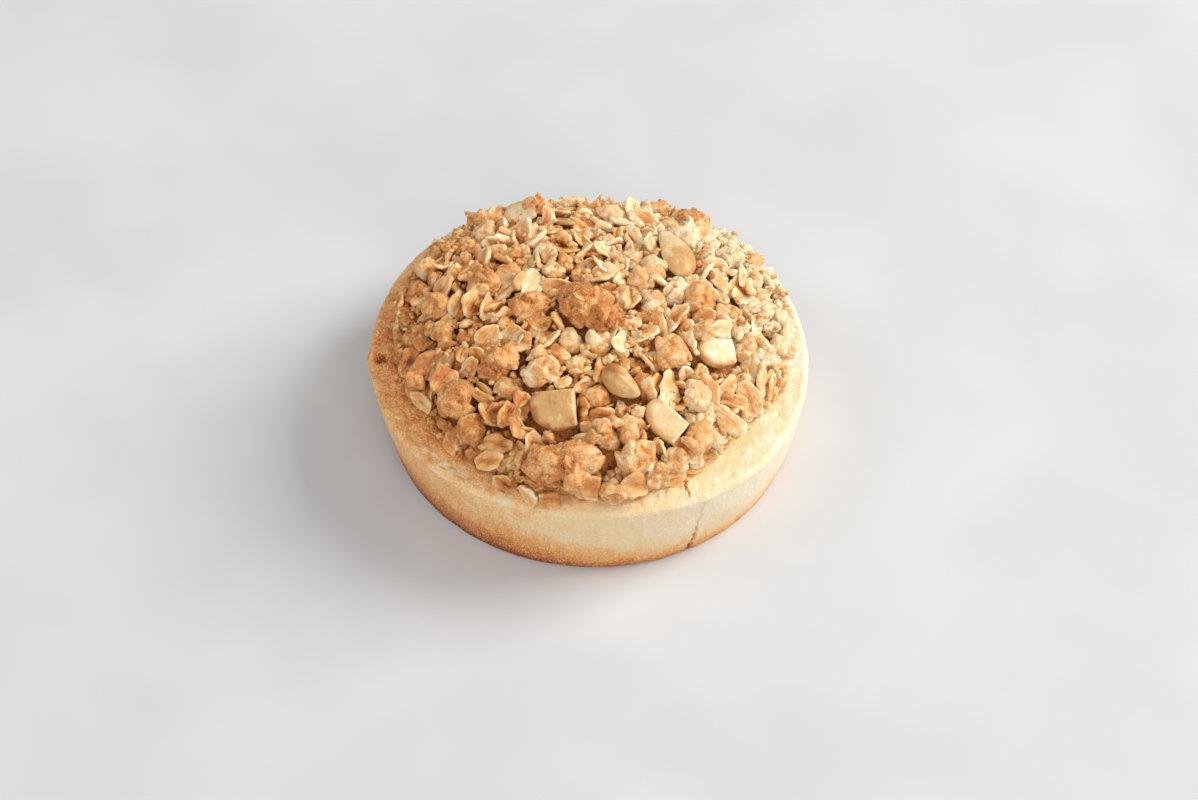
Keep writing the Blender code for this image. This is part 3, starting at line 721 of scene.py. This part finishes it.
class Ground:
    """Heights of what has been laid so far, on a square grid, so that each piece lands on it."""

    def __init__(self):
        self.size = round(2 * REACH / CELL)
        middles = (np.arange(self.size) + 0.5) * CELL - REACH

        def grid(rule):
            return np.array([[rule(x, y) for x in middles] for y in middles])

        self.height = grid(core_height)
        share = grid(heap_share)
        hollows = grid(lambda x, y: HOLLOW_DEPTH * max(0, ripple((x, y, 0), HOLLOW_GRAIN, 40)))
        self.target = np.where(share < 1.02, grid(heap_height) - hollows, math.nan)
        self.hollow = 1 - 0.75 * smooth_array(share, 0.82, 0.98)
        x, y = np.meshgrid(middles, middles)
        beside = np.abs(np.degrees(np.arctan2(y, x)) - RIM_CRACK_BEARING) < 2.5
        self.kept_cells = beside & (np.hypot(x, y) > RIM_CRACK_INNER + 1)
        self.smooth_cells = self.kept_cells.copy()

    def cells(self, points):
        index = np.clip(((points[:, :2] + REACH) / CELL).astype(int), 0, self.size - 1)
        return index[:, 1], index[:, 0]

    def lift(self, points, sunk):
        """How far up the points must go to lie on the ground, a share of them sunk in it."""
        return np.quantile(self.height[self.cells(points)] - points[:, 2], 1 - sunk)

    def gap(self, points):
        """The mean gap under the lower half of the points."""
        low = points[points[:, 2] < np.median(points[:, 2])]
        return (low[:, 2] - self.height[self.cells(low)]).mean()

    def depth(self, points):
        """Painted shade for the hollows: 0 well over the heap's surface, 1 in the hollows under it, less at
        its foot and at its lit right.
        """
        cells = self.cells(points)
        target = np.nan_to_num(self.target[cells], nan=HEAP_FOOT)
        # The painted shade is weaker towards the right, where the light comes from
        side = 0.8 - 0.3 * np.clip(points[:, 0] / HEAP_RADIUS, -1, 1)
        return side * self.hollow[cells] * smooth_array(target - points[:, 2], -2.6, 0.8)

    def need(self, x, y):
        """How far the ground within a few cells lies under the heap's own surface."""
        middle = self.cells(np.array([[x, y, 0]]))
        near = tuple(slice(max(index[0] - 3, 0), index[0] + 4) for index in middle)
        gaps = (self.target - self.height)[near]
        return -1 if np.isnan(gaps).all() else np.nanmean(gaps)

    def cover(self, points, faces, clean=False):
        """Raises the ground to a shape laid on it. Fine crumbs keep off clean shapes."""
        corners = points[faces]
        if corners.shape[1] == 4:
            corners = np.concatenate((corners[:, :3], corners[:, (0, 2, 3)]))
        inside = ((1, 1, 1), (4, 1, 1), (1, 4, 1), (1, 1, 4))
        weights = np.array(((1, 0, 0), (0, 1, 0), (0, 0, 1), *inside), float)
        weights /= weights.sum(1)[:, None]
        spread = np.einsum("wc,fcx->fwx", weights, corners).reshape(-1, 3)
        np.maximum.at(self.height, self.cells(spread), spread[:, 2])
        self.smooth_cells[self.cells(spread)] = clean


# Shapes of the pieces, each as points, faces and how much of a crease or an edge each point has

def disc_grid(levels, sides):
    """Angle round and angle down of a closed disc's points, and its faces."""
    down = [math.pi * (level + 1) / (levels + 1) for level in range(levels)]
    around = np.tile(2 * np.pi * np.arange(sides) / sides, levels)
    lower = np.repeat(down, sides)
    around, lower = np.append(around, (0, 0)), np.append(lower, (0, math.pi))
    top, bottom = levels * sides, levels * sides + 1
    faces = []
    for side in range(sides):
        there = (side + 1) % sides
        faces.append((top, side, there))
        faces.append((bottom, (levels - 1) * sides + there, (levels - 1) * sides + side))
        for level in range(levels - 1):
            here, beside = level * sides + side, level * sides + there
            faces.append((here, here + sides, beside + sides))
            faces.append((here, beside + sides, beside))
    return around, lower, np.array(faces)


FLAKE_GRID = disc_grid(9, 28)
SLICE_GRID = disc_grid(7, 26)
SAND_BALL = icosphere(2)
# Crumbs of dough: their ball, flakes stuck to it, and the size and relief of the fine crumbs on it
DOUGH = {"nugget": (icosphere(4), 9, 2.3, 0.5), "bit": (icosphere(3), 4, 1.6, 0.36)}


def faced(lower, power):
    """1 on a disc's upper face and -1 on its lower one, with a sharper edge for a low power."""
    return np.sign(np.cos(lower)) * np.abs(np.cos(lower)) ** power


def hills(around, draw, waves, size):
    """An uneven outline: a few waves round it with random phases."""
    total = np.ones_like(around)
    for count in waves:
        total += size / count ** 0.5 * draw.uniform(0.5, 1) * np.sin(count * around + draw.uniform(0, 6.3))
    return total


def oat_shape(draw, length):
    """A rolled oat: a curled oval flake with a crease along both faces and a ragged rim."""
    around, lower, faces = FLAKE_GRID
    width = length * draw.uniform(0.55, 0.8)
    thickness = draw.uniform(1, 1.7)
    outline = hills(around, draw, (2, 3, 5, 7), 0.11)
    spread = np.sin(lower) ** 0.6
    broken, split = draw.uniform(0.35, 1.5), draw.uniform(0.3, 1.9)
    x = 0.5 * length * np.minimum(np.cos(around) * outline, broken) * spread
    y = 0.5 * width * np.minimum(np.sin(around) * outline, split) * spread
    side = faced(lower, 0.7)
    u, v = 2 * x / length, 2 * y / width
    crease = np.exp(-((v + 0.12 * np.sin(3 * u)) / 0.16) ** 2) * np.clip(1 - u ** 2, 0, 1)
    swell = 1 + 0.25 * np.sin(draw.uniform(2, 4) * u + draw.uniform(0, 6)) * np.cos(2 * v)
    z = 0.5 * thickness * side * swell - 0.22 * thickness * side * crease
    z += draw.uniform(-0.3, 1.4) * v ** 2 + draw.uniform(-0.8, 1) * u ** 2 + draw.uniform(-0.8, 0.8) * u * v
    offset = draw.uniform(0, 60)
    places = np.stack((x, y, z), 1)
    rough = np.array([ripple(point, 1.5, offset) + 0.8 * ripple(point, 0.7, offset) for point in places])
    places += 0.34 * rough[:, None] * np.stack((np.cos(around), np.sin(around), side), 1)
    blot = draw.uniform(0, 0.3) * np.clip(1 - np.hypot(u - draw.uniform(-0.6, 0.6), v), 0, 1)
    # The paler rim is partly the flake's own cream edge and partly a painted highlight
    return places, faces, 0.2 * crease + blot - 0.14 * smooth_array(np.hypot(u, v), 0.7, 1) + 0.08 * rough


def slice_shape(draw, length):
    """A thin slice of almond, pointed at one end, bent a little, with a firm edge."""
    around, lower, faces = SLICE_GRID
    width = length * draw.uniform(0.48, 0.6)
    outline = hills(around, draw, (2, 3), 0.03)
    spread = np.sin(lower) ** 0.3
    x = 0.5 * length * np.cos(around) * spread * outline
    y = 0.5 * width * np.sin(around) * spread * outline * (1 - 0.35 * np.cos(around))
    side = faced(lower, 0.45)
    u, v = 2 * x / length, 2 * y / width
    z = 0.55 * side + 0.5 * u ** 2 * draw.uniform(-1, 1) + 0.2 * v ** 2
    return np.stack((x, y, z), 1), faces, 0.2 * np.clip(np.hypot(u, v), 0, 1) ** 6


def fused(draw, rays, count, size, core, thin):
    """How far rays that end on a shape reach over a core with pieces of a size stuck to it, and its shade,
    browner at the seams: partly caramel, partly painted shade.
    """
    reach, shade = [np.broadcast_to(core, len(rays))], [0.1]
    for _ in range(count):
        middle = rays[draw.randrange(len(rays))]
        out = Vector(middle).normalized() + 0.45 * Vector([draw.uniform(-1, 1) for _ in range(3)])
        turn = out.to_track_quat("Z", "Y").to_matrix() @ Matrix.Rotation(draw.uniform(0, 6.3), 3, "Z")
        radii = 0.5 * size * np.array((draw.uniform(0.8, 1.1), draw.uniform(0.5, 0.85), draw.uniform(*thin)))
        along = rays @ np.array(turn) / radii
        start = -draw.uniform(0.55, 0.84) * middle @ np.array(turn) / radii
        a, b, c = (along ** 2).sum(1), along @ start, start @ start - 1
        inside = b ** 2 - a * c
        reach.append(np.where(inside > 0, (np.sqrt(np.maximum(inside, 0)) - b) / a, 0))
        shade.append(draw.uniform(-0.18, 0.1))
    reach = np.array(reach)
    share = reach ** 16
    shade = np.array(shade) @ share / share.sum(0)
    lead = np.diff(np.sort(reach, axis=0)[-2:], axis=0)[0]
    # Seams where two pieces reach nearly as far are browner: partly caramel, partly painted shade in the
    # creases
    return (share.sum(0)) ** (1 / 16), shade + 0.12 * np.clip(1 - lead / 0.1, 0, 1)


def stuck_crumbs(points, grain, offset):
    """How far points of a crumb crust stand out, from 0 to about 1, and their crumbs' shades."""
    rise, own = [], []
    for point in points:
        near, middles = nearest_cells(point, grain, offset)
        rise.append(min(1, 1.5 * (near[1] - near[0])) + 0.3 * ripple(point, 0.8, offset))
        own.append(noise.cell(middles[0] * 9.7))
    return np.array(rise), np.array(own)


def broken(draw, rays, reach, count):
    """Cuts a shape back to a few flat breaks."""
    for _ in range(count):
        out = np.array(Vector([draw.gauss(0, 1) for _ in range(3)]).normalized())
        facing = rays @ out
        span = draw.uniform(0.6, 0.85) * (facing * reach).max()
        reach = np.where(facing > 0.01, np.minimum(reach, span / np.maximum(facing, 0.01)), reach)
    return reach


def dough_shape(draw, kind, length):
    """A broken crumb of dough with oats stuck to it, crumbly all over."""
    (unit, faces), flakes, grain, relief = DOUGH[kind]
    squash = np.array((1, draw.uniform(0.62, 0.95), draw.uniform(0.5, 0.8)))
    reach, shade = fused(draw, unit * squash, flakes, 1.35, core=0.66, thin=(0.2, 0.5))
    reach = broken(draw, unit * squash, reach, draw.randint(1, 4))
    points = unit * squash * reach[:, None] * 0.6 * length
    rise, own = stuck_crumbs(points, grain, draw.uniform(0, 60))
    points += unit * relief * (rise - 0.5)[:, None]
    # Low places between the stuck crumbs are darker and raised crumbs paler: painted shade and painted
    # highlight
    return points, faces, shade + 0.06 * own - 0.08 * (rise - 0.5)


def shaped(draw, kind, length):
    if kind == "oat":
        return oat_shape(draw, length)
    return slice_shape(draw, length) if kind == "slice" else dough_shape(draw, kind, length)


def turned(points, pose):
    """Points turned by a pose, still round the origin."""
    return points @ np.array(pose.to_3x3()).T


def toasted(points, out, shade, base):
    """More toasted at a piece's outer knobs, by its own pattern of shades elsewhere."""
    height = (points - points.mean(0)) @ np.array(out)
    height /= max(np.abs(height).max(), 0.01)
    return base + 0.14 * height + shade


# Toppings

def scaled_to(points, size):
    """Scales points to the given sizes along the axes, about the middle of their box."""
    low, high = points.min(0), points.max(0)
    return (points - 0.5 * (low + high)) * np.array(size) / (high - low)


def lump_shape(size, offset):
    """A clump of many oats baked together with dough, sandy all over, in the part's size."""
    large = max(size) > LARGE_LUMP
    unit, faces = icosphere(6 if large else 5)
    draw = random.Random(offset)
    rays = unit * np.array(size) / 2
    count = round(1.6 * (size[0] * size[1]) ** 0.5)
    dome = 0.12 * smooth_array(-unit[:, 0], 0, 0.6) if large else 0
    reach, shade = fused(draw, rays, count, 6.4, core=0.82 + dome, thin=(0.16, 0.36))
    coarse = np.array([0.12 * ripple(p, 0.8, offset) for p in unit])
    points = scaled_to(rays * (reach + coarse)[:, None], size)
    pits = np.array([smooth(ripple(p, 1.3, offset + 4), 0.3, 0.55) for p in points])
    rise, own = stuck_crumbs(points, 2.7, offset)
    away = points / np.linalg.norm(points, axis=1)[:, None]
    points = scaled_to(points + away * (0.24 * (rise - 0.5) - 0.3 * pits)[:, None], size)
    # Pits and low places between crumbs are darker, raised crumbs paler: painted shade and painted highlight
    return points, faces, shade + 0.14 * pits + 0.05 * own - 0.06 * (rise - 0.5)


def nib_shape(size, offset):
    unit, faces = icosphere(5)
    points = []
    for x, y, z in unit:
        taper = 1 - 0.28 * x
        ridge = 1 + 0.12 * math.exp(-(y / 0.3) ** 2)
        place = Vector((x, y * taper + 0.22 * x * x, z * taper * ridge))
        points.append(place * (1 + 0.06 * ripple(place, 0.8, offset) + 0.012 * ripple(place, 0.2, offset)))
    points = scaled_to(np.array(points), size)
    return points, faces, 0.36 * smooth_array(-unit[:, 0] - 0.3 * unit[:, 1], -0.4, 0.9)


def slab_shape(size, offset):
    """Almond with two straight cut edges, paler there, and toasted skin round the rest."""
    around, lower, faces = disc_grid(25, 80)
    spread = np.sin(lower) ** 0.2
    x = np.minimum(np.cos(around), 0.6) * spread
    y = np.minimum(np.sin(around), 0.62) * spread
    bump = np.array([1 + 0.05 * ripple((a, b, 0), 0.7, offset) for a, b in zip(x, y)])
    side = faced(lower, 0.35)
    z = side * (1 + 0.2 * (1 - x ** 2 - y ** 2)) + 0.06 * np.sin(3 * x + 2 * y)
    points = scaled_to(np.stack((x * bump, y * bump, z), 1), size)
    cut = smooth_array(np.maximum(x / 0.6, y / 0.62), 0.8, 1)
    skin = smooth_array(np.hypot(x, y), 0.6, 0.98) * (1 - cut)
    return points, faces, 0.4 * skin - 0.2 * cut


def rest_on_heap(points, pose):
    """Flattens the underside onto the part's core along the heap's outward direction."""
    out = np.array(heap_normal(pose.translation.x, pose.translation.y))
    for index, point in enumerate(points):
        for _ in range(6):
            depth = GAP - (point[2] - heap_height(point[0], point[1])) * out[2]
            if depth < 0.001:
                break
            point = point + out * depth
        points[index] = point
    return points


TOPPING_SHAPES = {
    "lump": (lump_shape, "toasted", 0.34),
    "nib": (nib_shape, "almond", 0.42),
    "slab": (slab_shape, "almond", 0.62),
}


def make_toppings(ground, surfaces):
    for name, form, bearing, distance, size, turn, tilt, toast in TOPPINGS:
        build, slot, rise = TOPPING_SHAPES[form]
        points, faces, shade = build(size, bearing)
        place = at(bearing, distance)
        pose = seat(place.x, place.y, turn, tilt, GAP + rise * size[2])
        points = rest_on_heap(turned(points, pose) + np.array(pose.translation), pose)
        value = toasted(points, heap_normal(place.x, place.y), shade, 0.22 + toast)
        # Painted shade where the topping lies in a hollow of the heap
        value += PAINTED_HOLLOW_SHADE * ground.depth(points)
        piece = mesh_piece(name + "_baked", points, faces.tolist(), surfaces[slot], slot, toast=value)
        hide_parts(name)
        ground.cover(points, faces, clean=slot == "almond")
        upper = points[:, 2] > points[:, 2].max() - 0.6 * np.ptp(points[:, 2])
        ground.kept_cells[ground.cells(points[upper])] = True


# Scattered pieces

def lay(ground, kind, shape, pose, x, y):
    """Lets a posed shape down on the ground at a place."""
    points = turned(shape, pose) + np.array((x, y, 0))
    points[:, 2] += ground.lift(points, SUNK_SHARE[kind])
    return points


def neediest_spot(ground, draw, reach, tries):
    """Of random places all over the heap, the one where the ground is lowest under it."""
    spots = []
    for _ in range(tries):
        bearing = draw.uniform(0, 360)
        spots.append(at(bearing, math.sqrt(draw.random()) * heap_edge(bearing) * reach))
    return max(spots, key=lambda spot: ground.need(spot.x, spot.y))


def closest_fit(ground, draw, kind, shape, tilts, spot):
    """The closest fit of the shape in several poses near a place, or None."""
    best = math.inf, None
    tilt = draw.uniform(*tilts)
    for _ in range(POSE_TRIES):
        x, y = spot.x + draw.uniform(-1, 1), spot.y + draw.uniform(-1, 1)
        spin = Matrix.Rotation(draw.uniform(0, 2 * math.pi), 4, "Z")
        points = lay(ground, kind, shape, seat(x, y, draw.uniform(0, 360), tilt) @ spin, x, y)
        above = points[:, 2].mean() - heap_height(x, y)
        score = ground.gap(points) + 0.5 * max(0, above)
        thinning = BACK_THINNING if y > BACK else FOOT_THINNING
        cover = MOST_COVER * (1 - thinning * smooth(heap_share(x, y), 0.75, 1))
        fits = above < cover and points[:, 2].max() < HIGHEST and on_tart(points)
        if fits and score < best[0] and ground.kept_cells[ground.cells(points)].mean() < MOST_OVERLAP:
            best = score, points
    return best[1]


def on_tart(points):
    """Whether a piece ends inside the crumble's limit."""
    x, y = points[np.hypot(points[:, 0], points[:, 1]).argmax(), :2]
    return math.hypot(x, y) < crumble_limit(bearing_of(x, y))


def best_lay(ground, draw, kind, shape):
    """Lays the shape at the neediest place that takes it, or gives None."""
    reach = 1.02 - 0.2 * np.ptp(shape[:, 0]) / HEAP_RADIUS
    for _ in range(LAY_TRIES):
        spot = neediest_spot(ground, draw, reach, SPOT_TRIES)
        points = closest_fit(ground, draw, kind, shape, TILTS[kind], spot)
        if points is not None:
            return points


BASE_TOAST = {"oat": (0.08, 0.36), "nugget": (0.1, 0.36), "bit": (0.1, 0.34), "slice": (0.34, 0.46)}
# How much painted shade the hollows under the heap's surface get
PAINTED_HOLLOW_SHADE = 0.64
# Painted shade on the heap's front left, away from the light, and browner patches that baked together
PAINTED_SIDE_SHADE, SHADED_SIDE_BEARING, PATCH_TOAST = 0.14, -146, 0.16


def side_shade_and_patches(points):
    """The heap is darker at its front left, the shaded side, which is painted shade, and browner in patches
    that baked together.
    """
    middle = points.mean(0)
    side = middle[:2] @ np.array(at(SHADED_SIDE_BEARING, 1).xy) / (0.6 * HEAP_RADIUS)
    return PAINTED_SIDE_SHADE * side + PATCH_TOAST * ripple((middle[0], middle[1], 0), 8, 60)


class Scatter:
    """Lays pieces on the ground and joins them to one heap for each kind."""

    def __init__(self, ground, draw):
        self.ground, self.draw = ground, draw
        self.heaps = {kind: Heap() for kind in BASE_TOAST}

    def keep(self, kind, shape, points, faces, shade, own=0):
        """Joins a shape to its heap where it lies, unless no place took it."""
        if points is None:
            return
        shift = 3.7 * len(self.heaps[kind].points)
        out = heap_normal(points[:, 0].mean(), points[:, 1].mean())
        toast = toasted(points, out, shade, self.draw.uniform(*BASE_TOAST[kind]))
        # Painted shade in the hollows and on the front left, and browner patches that baked together
        toast += own + PAINTED_HOLLOW_SHADE * self.ground.depth(points) + side_shade_and_patches(points)
        along, across = shape[:, 0] + shift, shape[:, 1] - shift
        self.heaps[kind].add(points, faces, toast=toast, along=along, across=across)
        self.ground.cover(points, faces)

    def lay_fringe(self):
        """Small pieces all round the heap's foot, up to the rim's edge at the front and the right."""
        for kind, count, lengths in FRINGE:
            for _ in range(count):
                bearing = self.draw.uniform(0, 360)
                if self.draw.random() < 0.5:
                    bearing = self.draw.gauss(SPILL_BEARING, 22)
                spot = at(bearing, self.draw.uniform(heap_edge(bearing) - 3.6, crumble_limit(bearing) - 1))
                shape, faces, shade = shaped(self.draw, kind, self.draw.uniform(*lengths))
                points = closest_fit(self.ground, self.draw, kind, shape, (0, 30), spot)
                self.keep(kind, shape, points, faces, shade)

    def lay_placed(self):
        for kind, x, y, length, turn, tilt, own in PLACED:
            shape, faces, shade = shaped(self.draw, kind, length)
            points = lay(self.ground, kind, shape, seat(x, y, turn, tilt), x, y)
            self.keep(kind, shape, points, faces, shade, own)

    def lay_layers(self, layers):
        for kind, count, lengths in layers:
            for _ in range(count):
                shape, faces, shade = shaped(self.draw, kind, self.draw.uniform(*lengths))
                points = best_lay(self.ground, self.draw, kind, shape)
                self.keep(kind, shape, points, faces, shade)


def lay_crumbs(ground, draw, count, lengths, reach):
    """Small crumbs where they fall, mostly on the heap and a few on the rim beside it."""
    heap = Heap()
    unit, faces = SAND_BALL
    for _ in range(count):
        spot = neediest_spot(ground, draw, reach, HOLLOW_TRIES)
        if ground.smooth_cells[ground.cells(np.array([spot]))].any():
            continue
        length = draw.uniform(*lengths)
        squash = Vector((length, length * draw.uniform(0.5, 1), length * draw.uniform(0.4, 0.8))) * 0.5
        offset = draw.uniform(0, 60)
        rough = np.array([1 + 0.5 * ripple(point, 0.8, offset) for point in unit])
        shape = unit * broken(draw, unit, rough, 3)[:, None] * squash
        turn = Matrix.Rotation(draw.uniform(0, 6.28), 4, (draw.random(), draw.random(), draw.random() + 0.1))
        points = lay(ground, "crumb", shape, turn, spot.x, spot.y)
        if points[:, 2].max() > HIGHEST or not on_tart(points):
            continue
        # Painted shade where the crumb lies in a hollow
        heap.add(points, faces, toast=draw.uniform(0.25, 0.5) + PAINTED_HOLLOW_SHADE * ground.depth(points))
        if length > 1:
            ground.cover(points, faces)
    return heap


def make_crumble():
    draw = random.Random(SEED)
    make_core()
    crumb, almond = baked_surface("baked_dough"), almond_surface()
    brown = baked_surface("toasted_dough", blush=0.2, grain=1.5, relief=0.09, sugary=0.65)
    ground = Ground()
    scatter = Scatter(ground, draw)
    scatter.lay_fringe()
    make_toppings(ground, {"toasted": brown, "almond": almond})
    scatter.lay_layers(LAYERS[:LOW_LAYERS])
    scatter.lay_placed()
    scatter.lay_layers(LAYERS[LOW_LAYERS:])
    scatter.heaps["oat"].make("oat_flakes", oat_surface(), "crumble")
    scatter.heaps["nugget"].make("dough_nuggets", crumb, "crumble")
    scatter.heaps["bit"].make("dough_bits", crumb, "crumble")
    scatter.heaps["slice"].make("almond_slices", almond, "almond")
    grit = baked_surface("fine_crumb", relief=0.06)
    for name, count, lengths, reach in CRUMBS:
        lay_crumbs(ground, draw, count, lengths, reach).make(name, grit, "crumble")


# Setting

TABLE_HALF = 6
# Lights: name, bearing, elevation, distance and size in metres, watts, colour
LIGHTS = (
    ("window_right", 19, 37, 2, 1, 40, (255, 251, 245)),
    ("window_left", 185, 42, 2.4, 1.2, 13, (250, 250, 252)),
    ("room", -80, 40, 2.6, 2, 29.6, (255, 248, 238)),
)
# The camera's place in metres, degrees below the level, roll and lens, from the round plate's circles
CAMERA_PLACE = (0.00246, -0.39270, 0.48616)
CAMERA_PITCH, CAMERA_ROLL, CAMERA_LENS = 50.82, 0.0163, 75.64


def make_floor():
    """A pale table top, level with the foot, with a faint mottle."""
    made = Surface("pale_table")
    colour = made.ramp(made.speckle(60, 2), ((0.3, (204, 207, 213)), (0.7, (211, 214, 219))))
    corners = [(x * TABLE_HALF, y * TABLE_HALF, 0) for x, y in ((-1, -1), (1, -1), (1, 1), (-1, 1))]
    mesh = new_mesh("table", corners, [(0, 1, 2, 3)], made.finish(colour, 0.85, gloss=0.15))
    floor = added("table", mesh)


def make_lights():
    """Soft daylight from the right, with weaker light from the left, the front and all round."""
    for name, bearing, elevation, distance, size, power, colour in LIGHTS:
        data = bpy.data.lights.new(name, "AREA")
        data.size = size
        data.energy = power
        data.color = linear(*colour)[:3]
        light = added(name, data)
        rise = math.radians(elevation)
        light.location = at(bearing, distance * math.cos(rise), distance * math.sin(rise))
        light.rotation_euler = light.location.to_track_quat("Z", "Y").to_euler()
    world = bpy.data.worlds.new("room")
    world.use_nodes = True
    background = world.node_tree.nodes["Background"]
    background.inputs["Color"].default_value = linear(244, 240, 236)
    background.inputs["Strength"].default_value = 0.31
    bpy.context.scene.world = world
    bpy.context.scene.view_settings.view_transform = "Standard"


def make_camera():
    """The photograph's view, from a fit to the round plate under the tart."""
    data = bpy.data.cameras.new("camera")
    data.sensor_width = 36
    data.lens = CAMERA_LENS
    data.clip_start = 0.02
    camera = added("camera", data)
    pitch = Matrix.Rotation(math.radians(90 - CAMERA_PITCH), 4, "X")
    roll = Matrix.Rotation(CAMERA_ROLL, 4, "Z")
    camera.matrix_world = Matrix.Translation(CAMERA_PLACE) @ pitch @ roll
    bpy.context.scene.camera = camera


make_crust()
make_crumble()
make_floor()
make_lights()
make_camera()
